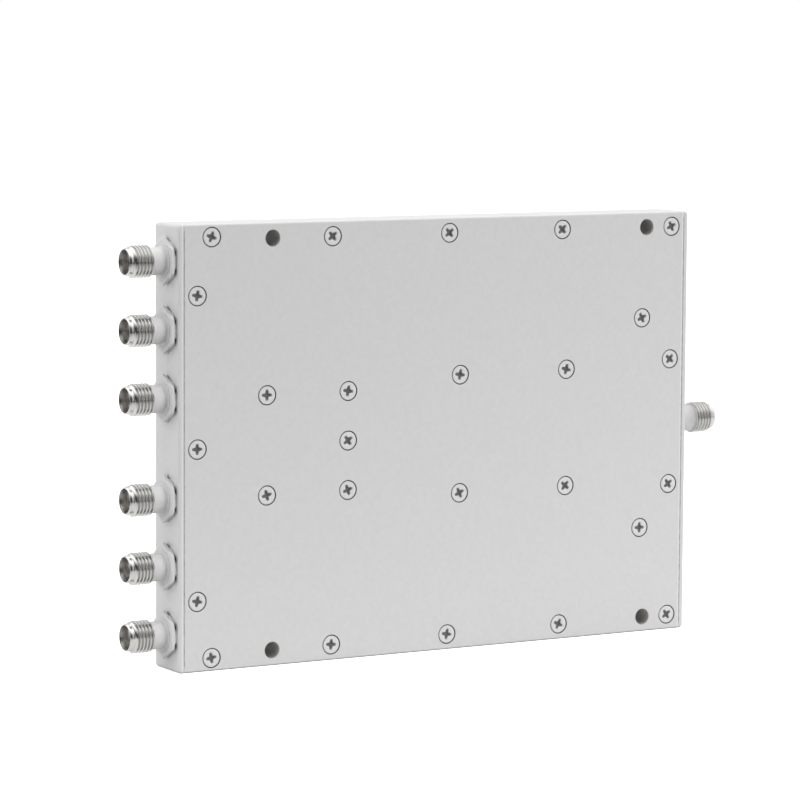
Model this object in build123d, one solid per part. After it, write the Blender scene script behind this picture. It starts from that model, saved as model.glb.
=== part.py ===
import os
from math import cos, pi, radians, tan

from build123d import *

# Microwave power splitter: a flat milled housing with a flush screwed cover,
# six coaxial outputs on its left end and one coaxial input on its right end.
# Millimetres. +Z is up and the cover faces -Y. The origin is under the middle of
# the housing's base. "Across" is measured from the left end face, "up" from the
# housing's mid-height and "depth" from the front face.

# Housing
housing_width = 115.0
housing_height = 85.0
housing_depth = 10.0
corner_radius = 0.75
edge_radius = 0.4
end_wall = 7.0
side_wall = 5.5
pocket_corner_radius = 0.8

# Cover, flush between the two end lips
cover_thickness = 1.5
left_lip = 1.15
right_lip = 1.0
cover_gap = 0.05

# Countersunk cover screws
screw_length = 5.0
screw_shank_radius = 0.95
screw_head_radius = 1.9
screw_head_drop = 0.1
recess_reach = 1.1
recess_slot_width = 0.5
recess_depth = 0.65
tapped_hole_clearance = 0.02
tapped_hole_extra = 0.6
cover_hole_clearance = 0.15

# Screw rows along the top and bottom, and the screws near the two ends
row_screw_count = 5
row_inset = 3.0
row_start = 7.0
first_row_screw_inset = 2.5
end_screw_inset = 4.0
right_end_screw_height = 12.7

# Posts in the pocket that carry the inner cover screws
post_radius = 2.5
near_post_across = 18.85
middle_post_across = 36.55
near_post_above_output = 0.1
far_post_from_right = 53.35
late_post_from_right = 28.75
far_post_height = 11.65
lug_from_right = 10.85
lug_height = 21.25

# Mounting holes through cover and housing
mounting_hole_radius = 1.6
mounting_hole_inset = 3.0
mounting_hole_from_left = 20.0
mounting_hole_from_right = 10.0

# Coaxial connectors
bore_web = 0.4
top_output_inset = 7.0
output_pitch = 13.0
outputs_per_side = 3
flange_sides = 6
flange_across_flats = 8.0
flange_thickness = 0.8
flange_face_radius = 3.95
flange_chamfer_angle = 15.0
collar_length = 0.4
shoulder_radius = 3.3
shoulder_length = 0.15
input_shoulder_length = 0.4
neck_radius = 2.68
neck_length = 2.7
input_neck_length = 3.3
thread_radius = 3.1
thread_length = 3.65
lead_in_length = 0.65
nose_radius = 2.65
nose_length = 0.75
nose_chamfer_length = 0.45
nose_tip_radius = 2.38
socket_radius = 2.3
socket_depth = 1.9
shank_radius = 2.6
shank_set_back = 0.3
fit_clearance = 0.02
line_bore_radius = 1.46
bead_length = 3.7
contact_radius = 0.635
contact_bore_radius = 0.47
contact_bore_depth = 3.0
tail_length = 2.5

# Circuit board with its printed lines
board_thickness = 0.8
board_clearance = 0.2
track_thickness = 0.07
line_width = 1.9
arm_width = 1.0
stub_width = 0.8
post_to_arm = 1.9
input_line_length = 13.0
first_arm_height = 3.0
first_join_offset = 3.0
join_to_riser = 3.5
post_to_split = 8.0
wall_to_turn = 6.0
turn_to_bridge = 3.0

# Chip resistors
resistor_length = 3.2
resistor_width = 1.6
resistor_thickness = 0.55
resistor_overlap = 0.5

# Values that follow from the sizes above
axis_depth = cover_thickness + bore_web + shank_radius
board_front_depth = axis_depth + contact_radius + track_thickness
floor_depth = board_front_depth + board_thickness
pocket_width = housing_width - 2 * end_wall
pocket_height = housing_height - 2 * side_wall
half_height = housing_height / 2
countersink_radius = screw_head_radius + screw_head_drop
row_height = half_height - row_inset
row_end = housing_width - end_screw_inset
row_pitch = (row_end - row_start) / (row_screw_count - 1)
mounting_height = half_height - mounting_hole_inset
output_shoulder_end = collar_length + flange_thickness + shoulder_length
output_neck_end = output_shoulder_end + neck_length
input_neck_end = input_shoulder_length + input_neck_length
shank_end = shank_set_back - end_wall
top_output_height = half_height - top_output_inset
inner_output_height = top_output_height - (outputs_per_side - 1) * output_pitch
near_post_height = inner_output_height + near_post_above_output


def front_plane(depth):
    """Plane parallel to the front face; its normal points out of the front."""
    return Plane.XZ.offset(housing_depth / 2 - depth)


def at(across, up):
    """Point in a front plane from the left end and the mid-height."""
    return Pos(across - housing_width / 2, up + half_height)


def rod(radius, across, up, near, far):
    """Cylinder that runs into the housing from one depth to another."""
    return extrude(front_plane(near) * at(across, up) * Circle(radius), amount=near - far)


def slab(width, height, across, up, near, far):
    """Box that runs into the housing from one depth to another."""
    return extrude(front_plane(near) * at(across, up) * Rectangle(width, height), amount=near - far)


def turned(points):
    """Solid of revolution about Z from a closed outline of (radius, height) points."""
    outline = make_face(Polyline([(radius, 0, height) for radius, height in points], close=True))
    return revolve(outline, axis=Axis.Z)


def mirrored(spots):
    """Spots off the mid-height come as a pair, one above it and one below."""
    pairs = []
    for across, up in spots:
        pairs.append((across, up))
        if up > 0:
            pairs.append((across, -up))
    return pairs


# Where things sit on the front face
wall_screws = mirrored(
    [(row_start, half_height - first_row_screw_inset)]
    + [(row_start + step * row_pitch, row_height) for step in range(1, row_screw_count)]
    + [
        (end_screw_inset, top_output_height - output_pitch / 2),
        (end_screw_inset, 0),
        (row_end, right_end_screw_height),
    ]
)
post_screws = mirrored(
    [
        (near_post_across, near_post_height),
        (middle_post_across, near_post_height),
        (middle_post_across, 0),
        (housing_width - far_post_from_right, far_post_height),
        (housing_width - late_post_from_right, far_post_height),
    ]
)
lug_screws = mirrored([(housing_width - lug_from_right, lug_height)])
mounting_holes = mirrored(
    [
        (mounting_hole_from_left, mounting_height),
        (housing_width - mounting_hole_from_right, mounting_height),
    ]
)

# How far each cover screw is turned, in degrees, in the order of the lists above
wall_screw_turns = [-20, 10, 40, -5, 40, -10, 45, -25, 25, 35, -10, -10, 0, -40, 35]
post_screw_turns = [0, 15, -10, 20, 35, -10, 25, -15, -40]
lug_screw_turns = [25, 0]
cover_screw_spots = wall_screws + post_screws + lug_screws
cover_screw_turns = wall_screw_turns + post_screw_turns + lug_screw_turns

output_heights = []
for side in (1, -1):
    for step in range(outputs_per_side):
        output_heights.append(side * (top_output_height - step * output_pitch))
output_heights.sort(reverse=True)


def make_housing():
    """Block with end lips, a pocket with screw posts, connector bores and tapped holes."""
    outline = RectangleRounded(housing_width, housing_height, corner_radius)
    block = extrude(front_plane(0) * at(housing_width / 2, 0) * outline, amount=-housing_depth)
    rims = block.edges().filter_by_position(Axis.Y, -housing_depth / 2, -housing_depth / 2)
    rims += block.edges().filter_by_position(Axis.Y, housing_depth / 2, housing_depth / 2)
    block = fillet(rims, edge_radius)

    seat_width = housing_width - left_lip - right_lip
    seat_across = left_lip + seat_width / 2
    block -= slab(seat_width, housing_height, seat_across, 0, 0, cover_thickness)

    pocket_outline = RectangleRounded(pocket_width, pocket_height, pocket_corner_radius)
    pocket = extrude(
        front_plane(cover_thickness) * at(housing_width / 2, 0) * pocket_outline,
        amount=cover_thickness - floor_depth,
    )
    for across, up in post_screws + lug_screws:
        pocket -= rod(post_radius, across, up, cover_thickness, floor_depth)
    for across, up in lug_screws:
        web = housing_width - end_wall - across
        pocket -= slab(web, 2 * post_radius, across + web / 2, up, cover_thickness, floor_depth)
    block -= pocket

    hole_radius = screw_shank_radius + tapped_hole_clearance
    hole_end = screw_head_drop + screw_length + tapped_hole_extra
    for across, up in cover_screw_spots:
        block -= rod(hole_radius, across, up, cover_thickness, hole_end)
    for across, up in mounting_holes:
        block -= rod(mounting_hole_radius, across, up, 0, housing_depth)
    bore = Cylinder(
        shank_radius + fit_clearance,
        end_wall,
        align=(Align.CENTER, Align.CENTER, Align.MAX),
    )
    for seat in connector_seats:
        block -= seat * bore
    return block


def connector_seat(end_face, outward, up):
    """Plane on an end face, its normal along the connector and its local X upwards."""
    origin = (end_face, axis_depth - housing_depth / 2, up + half_height)
    return Plane(origin=origin, x_dir=(0, 0, 1), z_dir=(outward, 0, 0))


output_seats = [connector_seat(-housing_width / 2, -1, up) for up in output_heights]
input_seat = connector_seat(housing_width / 2, 1, 0)
connector_seats = output_seats + [input_seat]


def make_cover():
    """Flat plate with countersunk screw holes and four plain mounting holes."""
    width = housing_width - left_lip - right_lip - 2 * cover_gap
    across = left_lip + cover_gap + width / 2
    plate = slab(width, housing_height, across, 0, 0, cover_thickness)
    long_edges = plate.edges().filter_by(Axis.X)
    front_edges = long_edges.filter_by_position(Axis.Y, -housing_depth / 2, -housing_depth / 2)
    plate = fillet(front_edges, edge_radius)
    sink_depth = countersink_radius - screw_shank_radius - cover_hole_clearance
    hole_radius = screw_shank_radius + cover_hole_clearance
    sink = turned([(0, 0), (countersink_radius, 0), (hole_radius, -sink_depth), (0, -sink_depth)])
    for across, up in cover_screw_spots:
        plate -= rod(hole_radius, across, up, 0, cover_thickness)
        plate -= front_plane(0) * at(across, up) * sink
    for across, up in mounting_holes:
        plate -= rod(mounting_hole_radius, across, up, 0, cover_thickness)
    return plate


def make_cover_screw():
    """Countersunk screw with a cross recess, its head's top at the local origin."""
    cone_depth = screw_head_radius - screw_shank_radius
    body = turned(
        [
            (0, 0),
            (screw_head_radius, 0),
            (screw_shank_radius, -cone_depth),
            (screw_shank_radius, -screw_length),
            (0, -screw_length),
        ]
    )
    cross = Rectangle(2 * recess_reach, recess_slot_width)
    cross += Rectangle(recess_slot_width, 2 * recess_reach)
    return body - extrude(cross, amount=-recess_depth)


def make_shell(shoulder_end, neck_end):
    """Round shell on its seat plane, Z outwards: shank, shoulder, neck, thread and nose."""
    run_out = thread_radius - neck_radius
    thread_end = neck_end + thread_length
    nose_start = thread_end + lead_in_length
    shell_end = nose_start + nose_length
    return turned(
        [
            (line_bore_radius, shank_end),
            (shank_radius, shank_end),
            (shank_radius, 0),
            (shoulder_radius, 0),
            (shoulder_radius, shoulder_end),
            (neck_radius, shoulder_end),
            (neck_radius, neck_end),
            (thread_radius, neck_end + run_out),
            (thread_radius, thread_end),
            (nose_radius, nose_start),
            (nose_radius, shell_end - nose_chamfer_length),
            (nose_tip_radius, shell_end),
            (socket_radius, shell_end),
            (socket_radius, shell_end - socket_depth),
            (line_bore_radius, shell_end - socket_depth),
        ]
    )


def make_flange():
    """Hexagon on a round collar, both its faces turned down at the corners, points up and down."""
    prism = extrude(
        RegularPolygon(flange_across_flats / 2, flange_sides, major_radius=False),
        amount=flange_thickness,
    )
    corner_radius_out = flange_across_flats / 2 / cos(pi / flange_sides)
    drop = (corner_radius_out - flange_face_radius) * tan(radians(flange_chamfer_angle))
    lens = turned(
        [
            (line_bore_radius, 0),
            (flange_face_radius, 0),
            (corner_radius_out, drop),
            (corner_radius_out, flange_thickness - drop),
            (flange_face_radius, flange_thickness),
            (line_bore_radius, flange_thickness),
        ]
    )
    collar = turned(
        [
            (line_bore_radius, 0),
            (flange_face_radius, 0),
            (flange_face_radius, collar_length),
            (line_bore_radius, collar_length),
        ]
    )
    return collar + Pos(0, 0, collar_length) * (prism & lens)


def make_insulator():
    """Plastic bead in the shell's inner end that carries the contact in its air line."""
    bead = Cylinder(
        line_bore_radius - fit_clearance,
        bead_length,
        align=(Align.CENTER, Align.CENTER, Align.MIN),
    )
    bead -= Cylinder(
        contact_radius + fit_clearance,
        bead_length,
        align=(Align.CENTER, Align.CENTER, Align.MIN),
    )
    return Pos(0, 0, shank_end) * bead


def make_contact(neck_end):
    """Centre contact: a round pin with a socket outside and a tail over the board inside."""
    face = neck_end + thread_length + lead_in_length + nose_length - socket_depth
    tail_end = -end_wall - tail_length
    return turned(
        [
            (0, tail_end),
            (contact_radius, tail_end),
            (contact_radius, face),
            (contact_bore_radius, face),
            (contact_bore_radius, face - contact_bore_depth),
            (0, face - contact_bore_depth),
        ]
    )


def make_board():
    """Laminate bonded to the pocket's floor, cut round the posts."""
    outline = RectangleRounded(
        pocket_width - 2 * board_clearance,
        pocket_height - 2 * board_clearance,
        pocket_corner_radius - board_clearance,
    )
    board = extrude(
        front_plane(board_front_depth) * at(housing_width / 2, 0) * outline,
        amount=-board_thickness,
    )
    cut_radius = post_radius + board_clearance
    for across, up in post_screws + lug_screws:
        board -= rod(cut_radius, across, up, board_front_depth, floor_depth)
    for across, up in lug_screws:
        web = housing_width - end_wall - across
        board -= slab(web, 2 * cut_radius, across + web / 2, up, board_front_depth, floor_depth)
    return board


def strip(start, end, width):
    """Straight printed line between two points, run on past both by half its width."""
    length_across = abs(end[0] - start[0]) + width
    length_up = abs(end[1] - start[1]) + width
    middle = ((start[0] + end[0]) / 2, (start[1] + end[1]) / 2)
    return at(*middle) * Rectangle(length_across, length_up)


# Network: the input line splits in two at mid-height, and each half splits in three
board_right = housing_width - end_wall - board_clearance
board_left = end_wall + board_clearance
first_split_across = board_right - input_line_length
pair_gap = resistor_length - 2 * resistor_overlap
pair_height = (pair_gap + arm_width) / 2
between_posts = (middle_post_across + housing_width - far_post_from_right) / 2
first_join_across = between_posts + first_join_offset
riser_across = first_join_across - join_to_riser
second_split_across = middle_post_across + post_to_split
centre_output_height = inner_output_height + output_pitch
lower_arm_height = near_post_height + post_radius + post_to_arm + arm_width / 2
arm_spread = centre_output_height - lower_arm_height
turn_across = end_wall + wall_to_turn
bridge_across = turn_across + turn_to_bridge


def make_tracks():
    """Copper lines from the input to the six outputs, all joined."""
    left = board_left + line_width / 2
    right = board_right - line_width / 2
    net = strip((first_split_across, 0), (right, 0), line_width)
    net += strip(
        (first_split_across, -first_arm_height),
        (first_split_across, first_arm_height),
        arm_width,
    )
    for side in (1, -1):
        arm = side * first_arm_height
        joined = side * pair_height
        net += strip((first_join_across, arm), (first_split_across, arm), arm_width)
        net += strip((first_join_across, joined), (first_join_across, arm), arm_width)
        net += strip((riser_across, joined), (first_join_across, joined), arm_width)
        centre = side * centre_output_height
        net += strip((riser_across, joined), (riser_across, centre), line_width)
        net += strip((second_split_across, centre), (riser_across, centre), line_width)
        net += strip(
            (second_split_across, centre - arm_spread),
            (second_split_across, centre + arm_spread),
            arm_width,
        )
        for step in (-1, 0, 1):
            arm = centre + step * arm_spread
            output = centre + step * output_pitch
            net += strip((turn_across, arm), (second_split_across, arm), arm_width)
            net += strip((turn_across, arm), (turn_across, output), line_width)
            net += strip((left, output), (turn_across, output), line_width)
        for middle in (centre - arm_spread / 2, centre + arm_spread / 2):
            for toward in (1, -1):
                near = middle + toward * (pair_gap + stub_width) / 2
                far = middle + toward * arm_spread / 2
                net += strip((bridge_across, near), (bridge_across, far), stub_width)
    return extrude(
        front_plane(board_front_depth) * net,
        amount=track_thickness,
    )


def make_resistors():
    """Chip resistors, each bridging the gap between two printed lines."""
    spots = [(first_join_across, 0)]
    for side in (1, -1):
        for step in (-1, 1):
            spots.append((bridge_across, side * centre_output_height + step * arm_spread / 2))
    near = board_front_depth - track_thickness - resistor_thickness
    far = board_front_depth - track_thickness
    return [slab(resistor_width, resistor_length, across, up, near, far) for across, up in spots]


def save(node, solids):
    """Write one node; a list becomes a group of separate solids."""
    shape = Compound(children=solids) if isinstance(solids, list) else solids
    shape.label = node
    export_step(shape, "parts/" + node + ".step")


def save_connector(name, seat, shell, contact):
    """Write a connector's shell, bead and contact, standing on its seat plane."""
    save(name + "_shell", seat * shell)
    save(name + "_insulator", seat * make_insulator())
    save(name + "_contact", seat * contact)


os.makedirs("parts", exist_ok=True)
save("housing", make_housing())
save("cover", make_cover())
cover_screw = make_cover_screw()
save(
    "cover_screws",
    [
        front_plane(screw_head_drop) * at(across, up) * Rot(0, 0, turn) * cover_screw
        for (across, up), turn in zip(cover_screw_spots, cover_screw_turns)
    ],
)
save("circuit_board", make_board())
save("board_tracks", make_tracks())
save("isolation_resistors", make_resistors())
output_shell = make_shell(output_shoulder_end, output_neck_end) + make_flange()
output_contact = make_contact(output_neck_end)
for number, seat in enumerate(output_seats):
    save_connector("output_connector_" + str(number + 1), seat, output_shell, output_contact)
input_shell = make_shell(input_shoulder_length, input_neck_end)
save_connector("input_connector", input_seat, input_shell, make_contact(input_neck_end))
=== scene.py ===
import bpy
import numpy as np
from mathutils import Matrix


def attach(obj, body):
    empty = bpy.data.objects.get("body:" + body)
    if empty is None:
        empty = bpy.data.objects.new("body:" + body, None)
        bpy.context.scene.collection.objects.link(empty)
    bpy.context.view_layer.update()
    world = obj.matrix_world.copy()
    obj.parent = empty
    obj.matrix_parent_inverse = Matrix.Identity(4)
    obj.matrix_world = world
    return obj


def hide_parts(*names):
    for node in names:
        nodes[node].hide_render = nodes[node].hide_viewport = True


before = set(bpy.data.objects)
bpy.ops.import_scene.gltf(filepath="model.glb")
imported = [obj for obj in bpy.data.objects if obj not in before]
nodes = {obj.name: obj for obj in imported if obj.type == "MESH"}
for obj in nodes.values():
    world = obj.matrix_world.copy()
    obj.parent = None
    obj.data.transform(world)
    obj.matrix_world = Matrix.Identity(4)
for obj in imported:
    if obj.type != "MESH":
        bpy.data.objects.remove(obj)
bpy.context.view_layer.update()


# The housing is one block of aluminium, milled out behind the cover, with four bolt holes.
# It is painted light grey all over in a fine satin coat, apart from the walls of the holes.
# Its solid comes from model.glb, so only its finish is made here, with lengths in metres.
def new_finish(name):
    """Empty node material: returns the material, its tree and its shader."""
    material = bpy.data.materials.new(name)
    material.use_nodes = True
    tree = material.node_tree
    return material, tree, tree.nodes["Principled BSDF"]


def piece_coordinates(tree):
    """Object coordinates, in metres, in the part's own frame."""
    return tree.nodes.new("ShaderNodeTexCoord").outputs["Object"]


def grain(tree, size, low=0.0, high=1.0):
    """Noise with features of a given size, its middle range stretched to low..high."""
    noise = tree.nodes.new("ShaderNodeTexNoise")
    noise.inputs["Scale"].default_value = 1.0 / size
    noise.inputs["Detail"].default_value = 3.0
    tree.links.new(piece_coordinates(tree), noise.inputs["Vector"])
    spread = tree.nodes.new("ShaderNodeMapRange")
    spread.inputs["From Min"].default_value = 0.3
    spread.inputs["From Max"].default_value = 0.7
    spread.inputs["To Min"].default_value = low
    spread.inputs["To Max"].default_value = high
    tree.links.new(noise.outputs["Fac"], spread.inputs["Value"])
    return spread.outputs["Result"]


def blended(tree, first, second, share):
    """Colour between two colours; each is a tuple or the output of a node."""
    mix = tree.nodes.new("ShaderNodeMix")
    mix.data_type = "RGBA"
    for socket, colour in ((mix.inputs[6], first), (mix.inputs[7], second)):
        if isinstance(colour, tuple):
            socket.default_value = (*colour, 1.0)
        else:
            tree.links.new(colour, socket)
    tree.links.new(share, mix.inputs[0])
    return mix.outputs[2]


def math_of(tree, operation, first, second=0.0):
    """One sum, product, power or comparison of numbers or node outputs."""
    node = tree.nodes.new("ShaderNodeMath")
    node.operation = operation
    for socket, value in zip(node.inputs, (first, second)):
        if isinstance(value, (int, float)):
            socket.default_value = value
        else:
            tree.links.new(value, socket)
    return node.outputs["Value"]


def ramp_between(tree, value, start, end):
    """0 up to start, 1 from end, and a smooth step between them."""
    step = tree.nodes.new("ShaderNodeMapRange")
    step.interpolation_type = "SMOOTHSTEP"
    step.inputs["From Min"].default_value = start
    step.inputs["From Max"].default_value = end
    tree.links.new(value, step.inputs["Value"])
    return step.outputs["Result"]


def all_of(tree, *shares):
    """Product of several shares, each from 0 to 1."""
    product = shares[0]
    for share in shares[1:]:
        product = math_of(tree, "MULTIPLY", product, share)
    return product


def distance(tree, value, middle):
    """How far a value is from a middle, on either side."""
    return math_of(tree, "ABSOLUTE", math_of(tree, "SUBTRACT", value, middle))


def coated(tree, shader, tone, roughness, relief):
    """Join a tone, a grain of roughness and a fine relief to a shader.

    roughness is the size of the grain and its range; relief is the size of the bumps and their
    height.
    """
    tree.links.new(tone, shader.inputs["Base Color"])
    tree.links.new(grain(tree, *roughness), shader.inputs["Roughness"])
    relief_size, relief_height = relief
    bump = tree.nodes.new("ShaderNodeBump")
    bump.inputs["Distance"].default_value = relief_height
    bump.inputs["Strength"].default_value = 1.0
    tree.links.new(grain(tree, relief_size), bump.inputs["Height"])
    tree.links.new(bump.outputs["Normal"], shader.inputs["Normal"])


paint_tone = (0.62, 0.62, 0.62)
paint_shade = (0.597, 0.597, 0.597)
paint_mottle = 0.0009
paint_roughness = (0.0004, 0.46, 0.56)
paint_relief = (0.00022, 0.000004)
bolt_hole_middle = (0.005, 0.0425)
bolt_hole_offset = (0.0425, 0.0395)
bolt_hole_radius = 0.0016
hole_skin = 0.00003
hole_skin_fade = 0.0001
hole_metal = (0.48, 0.472, 0.46)
half_height = 0.0425
foot_start = (0.00001, 0.00003)
foot_line = 0.00014
foot_fade = 0.0001
painted_foot_shadow = (0.26, 0.26, 0.26)
edge_band = 0.0005
edge_fade = 0.00002
sink_start = -0.00498
sink_fade = 0.00006
sink_painted_shade = (0.05, 0.049, 0.047)
cover_middle = 0.000075
cover_reach = 0.056375
seam_floor = -0.0045
seam_floor_fade = 0.0001
highlight_on_cover = 0.00028
highlight_on_lip = 0.00036
highlight_fade = (0.00014, 0.00004)
painted_highlight_tone = (0.73, 0.73, 0.73)
seam_fade = (0.0002, 0.0001)
seam_inset = 0.0009
seam_taper = 0.0008
seam_patches = (0.0012, 0.3, 1.0)
seam_painted_shade = (0.34, 0.34, 0.34)


def satin_paint(name, cover=False):
    """Satin paint, bare in the bolt holes, with painted shade along the cover's two end seams.

    A painted highlight runs along the edge left of each seam, and a thin line of painted shadow
    runs along the foot. On the cover everything below the front face, in the screw holes and
    along the end faces, is painted nearly black as shade, while its long edges stay painted. The
    four bolt holes lie evenly about one middle, so the distance to the nearest axis is the length
    of (|x - middle| - offset, |z - middle| - offset).
    """
    material, tree, shader = new_finish(name)
    place = tree.nodes.new("ShaderNodeSeparateXYZ")
    tree.links.new(piece_coordinates(tree), place.inputs["Vector"])
    squares = []
    for axis, middle, offset in zip(("X", "Z"), bolt_hole_middle, bolt_hole_offset):
        away = distance(tree, place.outputs[axis], middle)
        squares.append(math_of(tree, "POWER", math_of(tree, "SUBTRACT", away, offset), 2.0))
    reach = math_of(tree, "SQRT", math_of(tree, "ADD", *squares))
    hole_rim = bolt_hole_radius + hole_skin
    hole = ramp_between(tree, reach, bolt_hole_radius + hole_skin_fade, hole_rim)
    tone = blended(tree, paint_shade, paint_tone, grain(tree, paint_mottle))
    # Painted shadow: a thin dark band just above the foot stands in for the contact shade there.
    above_foot = ramp_between(tree, place.outputs["Z"], *foot_start)
    near_foot = ramp_between(tree, place.outputs["Z"], foot_line + foot_fade, foot_line)
    tone = blended(tree, tone, painted_foot_shadow, all_of(tree, above_foot, near_foot))
    from_middle = distance(tree, place.outputs["Z"], half_height)
    if cover:
        # Painted shade: below its front face the cover is painted nearly black, in the screw
        # holes and along its end faces.
        below = ramp_between(tree, place.outputs["Y"], sink_start, sink_start + sink_fade)
        inner = half_height - edge_band
        inside = ramp_between(tree, from_middle, inner + edge_fade, inner - edge_fade)
        tone = blended(tree, tone, sink_painted_shade, all_of(tree, below, inside))
    on_front = ramp_between(tree, place.outputs["Y"], seam_floor + seam_floor_fade, seam_floor)
    along = math_of(tree, "SUBTRACT", place.outputs["X"], cover_middle)
    # Painted highlight: a light line along the edge left of each seam, on the front face only.
    painted_highlight_middle = cover_reach - highlight_on_cover if cover else -cover_reach - highlight_on_lip
    near_painted_highlight = ramp_between(tree, distance(tree, along, painted_highlight_middle), *highlight_fade)
    tone = blended(tree, tone, painted_highlight_tone, all_of(tree, on_front, near_painted_highlight))
    # Painted shade: the seams at the cover's ends are darkened in patches, for the shade in the
    # gap.
    from_seam = distance(tree, math_of(tree, "ABSOLUTE", along), cover_reach)
    near_seam = ramp_between(tree, from_seam, *seam_fade)
    seam_end = half_height - seam_inset
    open_seam = ramp_between(tree, from_middle, seam_end, seam_end - seam_taper)
    seam = all_of(tree, on_front, open_seam, near_seam, grain(tree, *seam_patches))
    tone = blended(tree, tone, seam_painted_shade, seam)
    tone = blended(tree, tone, hole_metal, hole)
    coated(tree, shader, tone, paint_roughness, paint_relief)
    return material


def dress(node, material):
    """Give a carried-over solid its material."""
    nodes[node].data.materials.clear()
    nodes[node].data.materials.append(material)


dress("housing", satin_paint("housing_paint"))


# The cover is a flat aluminium plate, flush between the two end lips of the housing.
# Its paint stops at the rims of the screw holes, whose walls are bare and painted nearly black as
# shade.
dress("cover", satin_paint("cover_paint", cover=True))


# Twenty-six countersunk steel screws with a cross recess hold the cover down.
# Their heads are painted with the cover; the recesses and the rims round the heads are bare, and
# painted nearly black as shade.
# Lengths of meshes are in millimetres from here on, and those of finishes stay in metres.
housing_left = -57.5
housing_middle = 42.5
cover_face = -5.0
screw_head_radius = 1.74
screw_shank_radius = 0.95
screw_length = 5.0
screw_drop = 0.1
head_round = 0.05
head_round_drop = 0.03
head_land = 0.14
head_depth = 0.96
recess_rings = np.linspace(0.03, 1.25, 26)
top_ring = 1.45
recess_reach = 1.16
recess_half_width = 0.4
recess_tip_width = 0.19
recess_depth = 0.5
recess_rise = 0.55
recess_wall_top = 0.1
recess_wall_spread = 0.16
recess_end_spread = 0.2
screw_angles = 72
head_tones = ((0.64, 0.64, 0.64), (0.68, 0.68, 0.68))
head_mottle = 0.0004
recess_steel_and_shade_tones = ((0.08, 0.079, 0.077), (0.17, 0.168, 0.163))
steel_mottle = 0.00025
bare_and_shaded_from = (-0.00488, -0.00455)
head_roughness = (0.0003, 0.4, 0.52)
head_relief = (0.0002, 0.000005)

# Across from the left end, up from mid-height, and how many degrees the screw is turned
wall_spots = [
    (7.0, 40.0, -20),
    (7.0, -40.0, 10),
    (33.0, 39.5, 40),
    (33.0, -39.5, -5),
    (59.0, 39.5, 40),
    (59.0, -39.5, -10),
    (85.0, 39.5, 45),
    (85.0, -39.5, -25),
    (111.0, 39.5, 25),
    (111.0, -39.5, 35),
    (4.0, 29.0, -10),
    (4.0, -29.0, -10),
    (4.0, 0.0, 0),
    (111.0, 12.7, -40),
    (111.0, -12.7, 35),
]
inner_spots = [
    (18.85, 9.6, 0),
    (18.85, -9.6, 15),
    (36.55, 9.6, -10),
    (36.55, -9.6, 20),
    (36.55, 0.0, 35),
    (61.65, 11.65, -10),
    (61.65, -11.65, 25),
    (86.25, 11.65, -15),
    (86.25, -11.65, -40),
    (104.15, 21.25, 25),
    (104.15, -21.25, 0),
]


def smooth_step(value):
    """0 below 0, 1 above 1, and 3t^2 - 2t^3 between."""
    inside = np.clip(value, 0.0, 1.0)
    return inside * inside * (3.0 - 2.0 * inside)


def skin(name, grids, looped, finishes, bands=None):
    """Mesh over grids of points in mm: each grid is rings of points, joined ring to ring.

    A looped grid's last ring joins its first; otherwise its end rings are closed by flat caps.
    bands gives the number of the material for each row of faces.
    """
    points, faces, which = [], [], []
    start = 0
    for grid in grids:
        rings, around = grid.shape[:2]
        row, column = np.meshgrid(np.arange(rings), np.arange(around), indexing="ij")
        if not looped:
            row = row[:-1]
            column = column[:-1]
        below = (row + 1) % rings
        beside = (column + 1) % around
        quads = np.stack(
            [
                row * around + column,
                row * around + beside,
                below * around + beside,
                below * around + column,
            ],
            axis=-1,
        )
        faces.extend((quads.reshape(-1, 4) + start).tolist())
        which.append(np.repeat(bands if bands is not None else np.zeros(len(row), int), around))
        if not looped:
            faces.append((np.arange(around)[::-1] + start).tolist())
            faces.append((np.arange(around) + start + (rings - 1) * around).tolist())
            which.append(np.zeros(2, int))
        points.append(grid.reshape(-1, 3))
        start += rings * around
    mesh = bpy.data.meshes.new(name)
    mesh.from_pydata((np.concatenate(points) / 1000.0).tolist(), [], faces)
    for finish in finishes:
        mesh.materials.append(finish)
    mesh.polygons.foreach_set("material_index", np.concatenate(which).astype(np.int32))
    mesh.polygons.foreach_set("use_smooth", np.ones(len(faces), bool))
    mesh.update()
    piece = bpy.data.objects.new(name, mesh)
    bpy.context.scene.collection.objects.link(piece)
    return piece


def screw_rings():
    """Rings of a screw on its own axis: (x, y) in the head's plane and depth below its top.

    Across the head the depth is a cross: each arm narrows from the middle to its tip and gets
    shallower on the way, with sloping walls. Then come the land, the cone and the shank.
    """
    angle = np.linspace(0.0, 2.0 * np.pi, screw_angles, endpoint=False)
    radius = np.concatenate([recess_rings, [top_ring, screw_head_radius - head_round]])
    reach, turn = np.meshgrid(radius, angle, indexing="ij")
    along = reach * np.maximum(abs(np.cos(turn)), abs(np.sin(turn)))
    aside = reach * np.minimum(abs(np.cos(turn)), abs(np.sin(turn)))
    out = np.clip(along / recess_reach, 0.0, 1.0)
    half_width = recess_half_width + (recess_tip_width - recess_half_width) * out
    beside_arm = smooth_step((half_width + recess_wall_top - aside) / recess_wall_spread)
    before_end = smooth_step((recess_reach - along) / recess_end_spread)
    depth = recess_depth * (beside_arm * before_end) * (1.0 - recess_rise * out)
    side_radius = np.array(
        [screw_head_radius, screw_head_radius, screw_shank_radius, screw_shank_radius]
    )
    side_depth = np.array([head_round_drop, head_land, head_depth, screw_length])
    reach = np.concatenate([reach, np.repeat(side_radius[:, None], screw_angles, axis=1)])
    turn = np.concatenate([turn, np.repeat(turn[:1], len(side_depth), axis=0)])
    depth = np.concatenate([depth, np.repeat(side_depth[:, None], screw_angles, axis=1)])
    return reach, turn, depth


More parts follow.
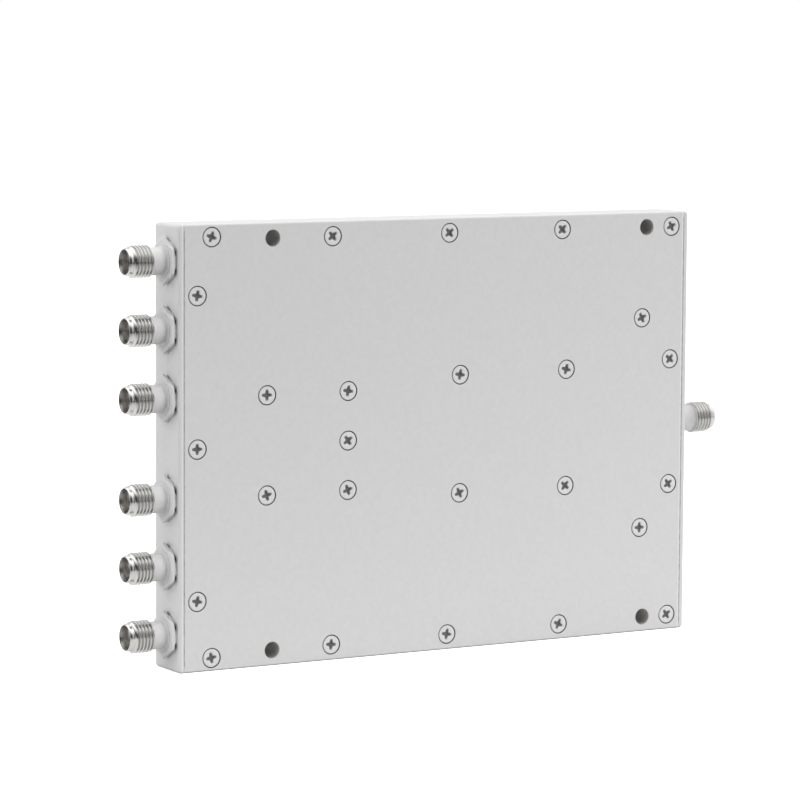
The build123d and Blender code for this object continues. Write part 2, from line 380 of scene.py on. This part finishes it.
def screw_at(across, up, degrees):
    """Rings of one screw in its hole, turned by some degrees."""
    reach, turn, depth = screw_rings()
    turned = turn + np.radians(degrees)
    x = across + housing_left + reach * np.cos(turned)
    z = housing_middle + up + reach * np.sin(turned)
    y = cover_face + screw_drop + depth
    return np.stack([x, y, z], axis=-1)[:, ::-1]


def screw_finish():
    """Paint on top of the head; below it bare steel, painted nearly black as shade in the recess
    and on the land.
    """
    material, tree, shader = new_finish("screw_paint")
    place = tree.nodes.new("ShaderNodeSeparateXYZ")
    tree.links.new(piece_coordinates(tree), place.inputs["Vector"])
    below = ramp_between(tree, place.outputs["Y"], *bare_and_shaded_from)
    paint = blended(tree, *head_tones, grain(tree, head_mottle))
    # Painted shade: below the head's top the steel is nearly black, for the shade in the recess
    # and round the land.
    steel = blended(tree, *recess_steel_and_shade_tones, grain(tree, steel_mottle))
    coated(tree, shader, blended(tree, paint, steel, below), head_roughness, head_relief)
    return material


screws = skin(
    "cover_screw_set",
    [screw_at(*spot) for spot in wall_spots + inner_spots],
    looped=False,
    finishes=[screw_finish()],
)
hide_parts("cover_screws")
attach(screws, "root")


# Each coaxial connector has a one-piece steel shell with a neck, a thread and a plain nose.
# The outputs stand on a hexagon on the end face, the input on a round shoulder. The thread, the
# nose and the socket are bare polished metal; the neck and the base are painted.
connector_depth = -0.5
shell_angles = 120
bore_radius = 1.46
shank_end = -6.7
shank_radius = 2.6
across_flats = 8.0
sixth_turn = np.pi / 3.0
flange_face_radius = 3.85
flange_slope = np.tan(np.radians(15.0))
collar_end = 0.45
flange_end = 1.2
flange_cuts = [0.03, 0.01, 0.05, 0.05, 0.05, 0.05]
shoulder_radius = 3.3
output_shoulder_end = 1.35
input_shoulder_end = 0.4
neck_radius = 2.68
neck_cuts = [0.06, 0.34, 0.0]
output_neck_end = 4.05
input_neck_end = 3.7
thread_radius = 3.1
thread_pitch = 0.7056
thread_rows = 170
crest_share = 0.07
root_depth = 0.41
thread_length = 3.65
back_slope = 1.6
nose_radius = 2.65
nose_start = 4.3
nose_land = 0.04
nose_chamfer_start = 4.74
nose_tip_radius = 2.47
nose_cuts = [0.0, 0.0, 0.0, 0.06, 0.02, 0.0, 0.0, 0.06, 0.0]
mouth_bevel = 0.09
barrel_end = 5.05
socket_radius = 2.3
socket_floor = 3.15
flat_margin = 0.02
input_overlap = 0.35
dark_corner_start = 0.26
dark_corner_spread = 0.2

# The numbers of the finishes, and the rows that the gap behind the hexagon and the socket take up
painted_part, polished_part, socket_part, gap_part = range(4)
collar_rows = slice(4, 18)
socket_rows = 9


def row_of(pair, angles):
    """One row of an outline: a and r, each spread over all the angles."""
    return np.array([np.broadcast_to(number, angles) for number in pair])


def softened(outline, cuts):
    """Round the corners of a closed outline, a list of (a, r) pairs, each a number per angle.

    Each corner with a cut becomes a quadratic curve between points set back by the cut, with
    one more point beyond each end, so that flat faces keep flat shading.
    """
    corners = [row_of(pair, shell_angles) for pair in outline]
    rows = []
    for number, cut in enumerate(cuts):
        here = corners[number]
        if cut == 0.0:
            rows.append(here)
            continue
        back = corners[number - 1] - here
        ahead = corners[(number + 1) % len(cuts)] - here
        back = back / np.linalg.norm(back, axis=0)
        ahead = ahead / np.linalg.norm(ahead, axis=0)
        rows.append(here + back * (cut + flat_margin))
        for share in (0.0, 0.25, 0.5, 0.75, 1.0):
            rows.append(here + cut * ((1.0 - share) ** 2 * back + share**2 * ahead))
        rows.append(here + ahead * (cut + flat_margin))
    return rows


def thread_depth(turns):
    """Depth below the crest of a worn 60 degree thread, from how many turns along a point is."""
    away = abs((turns + 0.5) % 1.0 - 0.5)
    slope = np.clip((away - crest_share) * thread_pitch * np.sqrt(3.0) / root_depth, 0.0, 1.0)
    return root_depth * (slope + smooth_step(slope)) / 2.0


def from_flat(angle):
    """Angle from the middle of the nearest of the hexagon's six flats, on either side."""
    return abs((angle + sixth_turn / 2.0) % sixth_turn - sixth_turn / 2.0)


def painted_base(shoulder_end, neck_end, angle):
    """Rows of (a, r) from the socket's floor by way of the shank to the neck's end.

    a runs outwards from the end face and r from the axis. An output's hexagon has as radius its
    half width over the cosine of the angle from the middle of a flat, and both of its faces
    slope down beyond the face radius.
    """
    inner = [
        (neck_end + socket_floor, bore_radius),
        (shank_end, bore_radius),
        (shank_end, shank_radius),
        (0.0, shank_radius),
    ]
    outer = [
        (shoulder_end, shoulder_radius),
        (shoulder_end, neck_radius),
        (neck_end, neck_radius),
    ]
    inner_cuts = [0.0] * len(inner)
    if shoulder_end < flange_end:
        return softened([*inner, (0.0, shoulder_radius), *outer], [*inner_cuts, 0.0, *neck_cuts])
    hexagon = across_flats / 2.0 / np.cos(from_flat(angle))
    drop = (hexagon - flange_face_radius) * flange_slope
    flange = [
        (0.0, flange_face_radius),
        (collar_end, flange_face_radius),
        (collar_end + drop, hexagon),
        (flange_end - drop, hexagon),
        (flange_end, flange_face_radius),
        (flange_end, shoulder_radius),
    ]
    return softened([*inner, *flange, *outer], [*inner_cuts, *flange_cuts, *neck_cuts])


def shell_outline(shoulder_end, neck_end, overlap, start):
    """Closed outline of the shell as rows of (a, r), its angles, finishes and painted light
    shares.

    The thread's crest moves one pitch along for each turn, and the paint covers a first overlap
    of it. The painted light share runs from 0 to 1 and sets painted shade or light: from the
    crest to the root of the thread, from the socket's mouth to its floor, and in the gap behind
    the hexagon from the middle of a flat to its corners.
    """
    angle = np.linspace(0.0, 2.0 * np.pi, shell_angles, endpoint=False)
    painted = painted_base(shoulder_end, neck_end, angle)
    thread_end = neck_end + thread_length
    barrel_start = neck_end + nose_start
    shell_end = neck_end + barrel_end
    along = np.linspace(neck_end, barrel_start, thread_rows)[1:-1, None]
    crest = thread_radius - thread_depth(along / thread_pitch - angle / (2.0 * np.pi) + start)
    lead_in_slope = (thread_radius - nose_radius) / (barrel_start - thread_end)
    front_cone = nose_radius + lead_in_slope * (barrel_start - along)
    back_cone = neck_radius + back_slope * (along - neck_end)
    uncut = np.minimum(np.minimum(thread_radius, front_cone), back_cone)
    ridge = np.minimum(crest, uncut)
    thread = list(np.stack([np.broadcast_to(along, ridge.shape), ridge], axis=1))
    bare = softened(
        [
            (neck_end, neck_radius),
            (barrel_start, nose_radius),
            (barrel_start + nose_land, nose_radius),
            (neck_end + nose_chamfer_start, nose_radius),
            (shell_end, nose_tip_radius),
            (shell_end, socket_radius + mouth_bevel),
            (shell_end - mouth_bevel, socket_radius),
            (neck_end + socket_floor, socket_radius),
            (neck_end + socket_floor, bore_radius),
        ],
        nose_cuts,
    )[1:-1]
    rows = painted + thread + bare
    finish = np.full(len(rows), painted_part)
    covered = int(overlap / nose_start * thread_rows)
    finish[len(painted) - 1 + covered :] = polished_part
    finish[-socket_rows:] = socket_part
    finish[0] = socket_part
    rows = np.stack(rows)
    painted_light_share = np.zeros((len(rows), shell_angles))
    # Painted shade: the polished thread darkens from crest to root, for the shade in its grooves.
    painted_light_share[len(painted) : len(painted) + len(thread)] = ((uncut - ridge) / root_depth) ** 2
    # Painted light: the socket's tone grows lighter from its mouth to its floor, against the
    # shade deep inside.
    painted_light_share[-socket_rows:] = (shell_end - rows[-socket_rows:, 0]) / (barrel_end - socket_floor)
    painted_light_share[0] = 1.0
    if shoulder_end > flange_end:
        finish[collar_rows] = gap_part
        # Painted shade: the gap behind the hexagon is dark at its corners and light at the middle
        # of each flat.
        corner = smooth_step((from_flat(angle) - dark_corner_start) / dark_corner_spread)
        painted_light_share[collar_rows.start : collar_rows.stop + 1] = corner
    return rows, angle, finish, painted_light_share


def on_axis(rows, angle, side, up):
    """Place (a, r) rows round a connector's axis: a runs outwards from that end face."""
    outwards, reach = rows[:, 0], rows[:, 1]
    x = side * (outwards - housing_left)
    y = connector_depth + side * reach * np.cos(angle)
    z = housing_middle + up + reach * np.sin(angle)
    return np.stack([np.broadcast_to(x, z.shape), y, z], axis=-1)[:, ::-1]


blotch_gain = 1.08
blotch_size = 0.0006
roughness_grain = 0.0005
roughness_spread = 0.05
metal_relief = (0.0003, 0.000002)


def bare_metal(name, tone, painted_light_tone, roughness):
    """Passivated steel in small blotches, its tone moving towards a painted light or shade tone
    with the painted light share.
    """
    material, tree, shader = new_finish(name)
    shader.inputs["Metallic"].default_value = 1.0
    lighter = tuple(blotch_gain * part for part in tone)
    blotched = blended(tree, tone, lighter, grain(tree, blotch_size))
    share = tree.nodes.new("ShaderNodeAttribute")
    share.attribute_name = "painted_light_share"
    tone_here = blended(tree, blotched, painted_light_tone, share.outputs["Fac"])
    spread = (roughness_grain, roughness - roughness_spread, roughness + roughness_spread)
    coated(tree, shader, tone_here, spread, metal_relief)
    return material


# Name, side, height above the middle, lengths of the base, and where the thread starts in turns
output_base = (output_shoulder_end, output_neck_end, 0.0)
input_base = (input_shoulder_end, input_neck_end, input_overlap)
connectors = [
    ("output_connector_1", -1, 35.5, output_base, 0.82),
    ("output_connector_2", -1, 22.5, output_base, 0.83),
    ("output_connector_3", -1, 9.5, output_base, 0.85),
    ("output_connector_4", -1, -9.5, output_base, 0.86),
    ("output_connector_5", -1, -22.5, output_base, 0.87),
    ("output_connector_6", -1, -35.5, output_base, 0.9),
    ("input_connector", 1, 0.0, input_base, 0.88),
]
# The second tones are painted light: shade in the thread's roots and the gap's corners, and light
# deep in the socket.
shell_finishes = [
    satin_paint("connector_paint"),
    bare_metal("connector_shell", (0.645, 0.638, 0.626), (0.42, 0.413, 0.403), 0.17),
    bare_metal("connector_socket", (0.28, 0.274, 0.265), (0.7, 0.69, 0.67), 0.34),
    bare_metal("connector_collar", (0.72, 0.715, 0.705), (0.12, 0.119, 0.116), 0.5),
]
for name, side, up, base, start in connectors:
    rows, angle, finish, painted_light_share = shell_outline(*base, start)
    placed = on_axis(rows, angle, side, up)
    shell = skin(name + "_threaded_shell", [placed], True, shell_finishes, finish)
    shares = shell.data.attributes.new("painted_light_share", "FLOAT", "POINT")
    shares.data.foreach_set("value", painted_light_share[:, ::-1].ravel().astype(np.float32))
    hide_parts(name + "_shell")
    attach(shell, "root")


# Each connector's centre contact is a gold-plated pin whose open end is slotted four ways.
# It is held by a plastic bead inside the shell, and its tail is soldered to the board.
contact_radius = 0.635
contact_bore = 0.47
contact_floor = 0.15
contact_tail = -9.5
contact_edge = 0.04
tail_edge = 0.05
cap_radius = 0.02
quarter_turn = np.pi / 2.0
slot_length = 1.7
slot_half_angle = np.radians(8.0)
contact_angles = 96


def contact_rows(neck_end):
    """Rows of (a, r) for bore, end face and outside; in the slots the end is set back."""
    angle = np.linspace(0.0, 2.0 * np.pi, contact_angles, endpoint=False)
    from_slot = abs((angle + quarter_turn / 2.0) % quarter_turn - quarter_turn / 2.0)
    end = neck_end + socket_floor - np.where(from_slot < slot_half_angle, slot_length, 0.0)
    outline = [
        (neck_end + contact_floor, cap_radius),
        (neck_end + contact_floor, contact_bore),
        (end - contact_edge, contact_bore),
        (end, contact_bore + contact_edge),
        (end, contact_radius - contact_edge),
        (end - contact_edge, contact_radius),
        (contact_tail + tail_edge, contact_radius),
        (contact_tail, contact_radius - tail_edge),
        (contact_tail, cap_radius),
    ]
    return np.stack([row_of(pair, contact_angles) for pair in outline]), angle


def mottled(name, tones, mottle, roughness, relief, metallic=0.0):
    """Finish that wanders between two tones in spots of one size, the mottle."""
    material, tree, shader = new_finish(name)
    shader.inputs["Metallic"].default_value = metallic
    coated(tree, shader, blended(tree, *tones, grain(tree, mottle)), roughness, relief)
    return material


gold_plate = mottled(
    "gold_plate",
    tones=((0.8, 0.6, 0.26), (0.88, 0.7, 0.36)),
    mottle=0.0005,
    roughness=(0.0004, 0.18, 0.3),
    relief=(0.0003, 0.000002),
    metallic=1.0,
)
bead_plastic = mottled(
    "insulator_plastic",
    tones=((0.78, 0.78, 0.76), (0.86, 0.86, 0.84)),
    mottle=0.0012,
    roughness=(0.0006, 0.5, 0.62),
    relief=(0.0004, 0.000004),
)
for name, side, up, (_, neck_end, _), _ in connectors:
    rows, angle = contact_rows(neck_end)
    placed = on_axis(rows, angle, side, up)
    contact = skin(name + "_slotted_contact", [placed], False, [gold_plate])
    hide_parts(name + "_contact")
    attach(contact, "root")
    dress(name + "_insulator", bead_plastic)


# The board inside carries the printed lines that split the input, with chip resistors between
# the halves. It is a pale laminate bonded to the pocket's floor; the lines are plated copper.
weave_scale = 600.0
weave_sway = 0.6
weave_tones = ((0.72, 0.69, 0.58), (0.82, 0.8, 0.7))
stain_tone = (0.7, 0.66, 0.54)
stains = (0.004, 0.0, 0.4)


def laminate():
    """Pale woven laminate: two crossed sets of fine threads as waves, and a soft mottle."""
    material, tree, shader = new_finish("laminate")
    threads = []
    for direction in ("X", "Z"):
        wave = tree.nodes.new("ShaderNodeTexWave")
        wave.bands_direction = direction
        wave.inputs["Scale"].default_value = weave_scale
        wave.inputs["Distortion"].default_value = weave_sway
        tree.links.new(piece_coordinates(tree), wave.inputs["Vector"])
        threads.append(wave.outputs["Fac"])
    woven = blended(tree, *weave_tones, all_of(tree, *threads))
    stained = blended(tree, woven, stain_tone, grain(tree, *stains))
    tree.links.new(stained, shader.inputs["Base Color"])
    shader.inputs["Roughness"].default_value = 0.6
    return material


plated_copper = mottled(
    "plated_copper",
    tones=((0.78, 0.58, 0.28), (0.86, 0.68, 0.38)),
    mottle=0.0008,
    roughness=(0.0005, 0.25, 0.4),
    relief=(0.0002, 0.000003),
    metallic=1.0,
)
resistor_glaze = mottled(
    "resistor_body",
    tones=((0.03, 0.03, 0.035), (0.07, 0.07, 0.075)),
    mottle=0.0002,
    roughness=(0.0003, 0.25, 0.4),
    relief=(0.0002, 0.000004),
)
dress("circuit_board", laminate())
dress("board_tracks", plated_copper)
dress("isolation_resistors", resistor_glaze)


# The floor is a wide white sheet, its colour painted bright round the part and darker to its
# front left as painted shade.
# It shows as pure white where nothing shades it, and keeps the part's soft shadow.
floor_corners = [(-2.5, -2.0, 0.0), (2.5, -2.0, 0.0), (2.5, 3.0, 0.0), (-2.5, 3.0, 0.0)]
floor_tone = 0.66
floor_fall = 0.15
floor_glow = 0.76
reflection_glow_strength = 0.13
dark_direction = np.radians(-30.0)
along_width = float(np.sin(dark_direction))
along_depth = float(np.cos(dark_direction))
floor_mesh = bpy.data.meshes.new("floor")
floor_mesh.from_pydata(floor_corners, [], [(0, 1, 2, 3)])
floor = bpy.data.objects.new("floor", floor_mesh)
bpy.context.scene.collection.objects.link(floor)
floor_paper, floor_tree, floor_shader = new_finish("floor_paper")
floor_place = floor_tree.nodes.new("ShaderNodeSeparateXYZ")
floor_tree.links.new(piece_coordinates(floor_tree), floor_place.inputs["Vector"])
leftwards = math_of(floor_tree, "MULTIPLY", floor_place.outputs["X"], along_width)
backwards = math_of(floor_tree, "MULTIPLY", floor_place.outputs["Y"], along_depth)
to_front_left = math_of(floor_tree, "SUBTRACT", leftwards, backwards)
beyond_part = math_of(floor_tree, "MAXIMUM", to_front_left, 0.0)
# Painted shade: the sheet's colour falls off with distance to its front left, brightest round the
# part.
falls = math_of(floor_tree, "DIVIDE", beyond_part, floor_fall)
spread_out = math_of(floor_tree, "ADD", math_of(floor_tree, "POWER", falls, 2.0), 1.0)
painted_falloff = math_of(floor_tree, "DIVIDE", 1.0, spread_out)
paper = math_of(floor_tree, "MULTIPLY", painted_falloff, floor_tone)
floor_tree.links.new(paper, floor_shader.inputs["Base Color"])
floor_shader.inputs["Roughness"].default_value = 0.9
floor_shader.inputs["Specular IOR Level"].default_value = 0.0
floor_shader.inputs["Emission Color"].default_value = (1.0, 1.0, 1.0, 1.0)
floor_rays = floor_tree.nodes.new("ShaderNodeLightPath")
made_up = math_of(floor_tree, "SUBTRACT", 1.0 + floor_glow, painted_falloff)
seen_glow = all_of(floor_tree, floor_rays.outputs["Is Camera Ray"], made_up)
# Painted reflection: the sheet glows a little, in step with its painted falloff, only where the
# metal mirrors it.
painted_reflection_glow = all_of(floor_tree, painted_falloff, reflection_glow_strength, floor_rays.outputs["Is Glossy Ray"])
floor_light = math_of(floor_tree, "ADD", seen_glow, painted_reflection_glow)
floor_tree.links.new(floor_light, floor_shader.inputs["Emission Strength"])
floor_mesh.materials.append(floor_paper)


# The studio is bright overhead and at the sides and back, and dark round the camera.
# The camera itself sees plain white. Soft lamps from three sides even out the part.
# The camera looks through a long lens from the front left, a little above the middle.
dark_left = (-150.0, -115.0)
dark_right = (35.0, 17.0)
dark_top = (62.0, 18.0)
dark_tone = (0.06, 0.06, 0.062)
overhead_rise = (25.0, 55.0)
overhead_tone = (1.58, 1.58, 1.57)
back_rise = (-0.2, 0.6)
side_tone = (0.95, 0.95, 0.95)
back_tone = (0.78, 0.78, 0.78)
plain_white = (1.0, 1.0, 1.0)
world = bpy.data.worlds.new("studio")
bpy.context.scene.world = world
world.use_nodes = True
sky = world.node_tree
background = sky.nodes["Background"]
direction = sky.nodes.new("ShaderNodeTexCoord").outputs["Generated"]
split = sky.nodes.new("ShaderNodeSeparateXYZ")
sky.links.new(direction, split.inputs["Vector"])
to_the_front = math_of(sky, "MULTIPLY", split.outputs["Y"], -1.0)
around = math_of(sky, "ARCTAN2", split.outputs["X"], to_the_front)
azimuth = math_of(sky, "DEGREES", around)
elevation = math_of(sky, "DEGREES", math_of(sky, "ARCSINE", split.outputs["Z"]))
right_of_left_edge = ramp_between(sky, azimuth, *dark_left)
left_of_right_edge = ramp_between(sky, azimuth, *dark_right)
under_light = ramp_between(sky, elevation, *dark_top)
darkness = all_of(sky, right_of_left_edge, left_of_right_edge, under_light)
overhead = ramp_between(sky, elevation, *overhead_rise)
to_the_back = ramp_between(sky, split.outputs["Y"], *back_rise)
sides = blended(sky, side_tone, back_tone, to_the_back)
glow = blended(sky, sides, overhead_tone, overhead)
room = blended(sky, glow, dark_tone, darkness)
rays = sky.nodes.new("ShaderNodeLightPath")
seen = blended(sky, room, plain_white, rays.outputs["Is Camera Ray"])
sky.links.new(seen, background.inputs["Color"])
background.inputs["Strength"].default_value = 1.0


def soft_lamp(name, size, power, place, turn):
    """Square lamp, in metres, watts and degrees, that mirrors don't show."""
    light = bpy.data.lights.new(name, "AREA")
    light.shape = "SQUARE"
    light.size = size
    light.energy = power
    lamp = bpy.data.objects.new(name, light)
    lamp.location = place
    lamp.rotation_euler = tuple(np.radians(turn))
    lamp.visible_glossy = False
    bpy.context.scene.collection.objects.link(lamp)


soft_lamp("key_light", 1.0, 23.2, (1.1, -1.88, 0.8), (71.0, 0.0, 30.3))
soft_lamp("left_light", 0.6, 4.9, (-0.88, 0.02, 0.1), (86.0, 0.0, -90.0))
soft_lamp("top_light", 0.5, 1.6, (-0.3, -0.12, 0.95), (17.0, 0.0, -64.0))

picture_width = 800
camera = bpy.data.cameras.new("camera")
camera.lens = 170.66
camera.sensor_width = 36.0
camera.shift_x = -0.5 / picture_width
camera.shift_y = 0.5 / picture_width
camera.clip_end = 20.0
viewer = bpy.data.objects.new("camera", camera)
viewer.location = (-0.37640, -0.63785, 0.12642)
viewer.rotation_euler = tuple(np.radians((84.01551, -0.33179, -30.07646)))
bpy.context.scene.collection.objects.link(viewer)
bpy.context.scene.camera = viewer
bpy.context.scene.view_settings.view_transform = "Standard"
